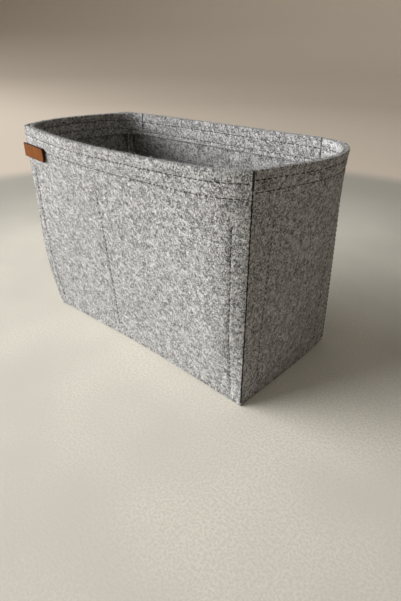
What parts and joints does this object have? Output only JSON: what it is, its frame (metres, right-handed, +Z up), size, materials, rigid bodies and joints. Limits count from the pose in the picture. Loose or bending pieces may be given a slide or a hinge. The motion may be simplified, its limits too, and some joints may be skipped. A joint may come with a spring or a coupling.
{
  "type": "purse organizer insert",
  "caption": "Open-topped felt box that stands inside a purse and keeps it in order, with a faced rim, sewn inner pockets and a small leather tag.",
  "frame": {"origin": "middle of the part's box, on the surface that the base stands on", "axes": "+X along the long walls toward the right end, the front wall faces -Y, +Z up"},
  "size_m": [0.244, 0.1233, 0.15],
  "materials": {
    "felt": "matte",
    "pocket_felt": "matte",
    "leather": "satin"
  },
  "bodies": {
    "shell": {"front_panel": "felt", "right_end_panel": "felt", "back_panel": "felt", "left_end_panel": "felt", "base_panel": "felt", "front_rim_facing": "felt", "right_end_rim_facing": "felt", "back_rim_facing": "felt", "left_end_rim_facing": "felt", "front_pocket": "pocket_felt", "right_end_pocket": "pocket_felt", "back_pocket": "pocket_felt", "left_end_pocket": "pocket_felt"},
    "tag": {"leather_tag": "leather"}
  },
  "joints": [
    {"name": "tag_lift", "type": "hinge", "parent": "shell", "child": "tag", "pos_m": [-0.10966, -0.05242, 0.1325], "axis": [0, 0, -1], "range_deg": [0, 110], "stiffness_Nm_per_rad": 0.005}
  ]
}
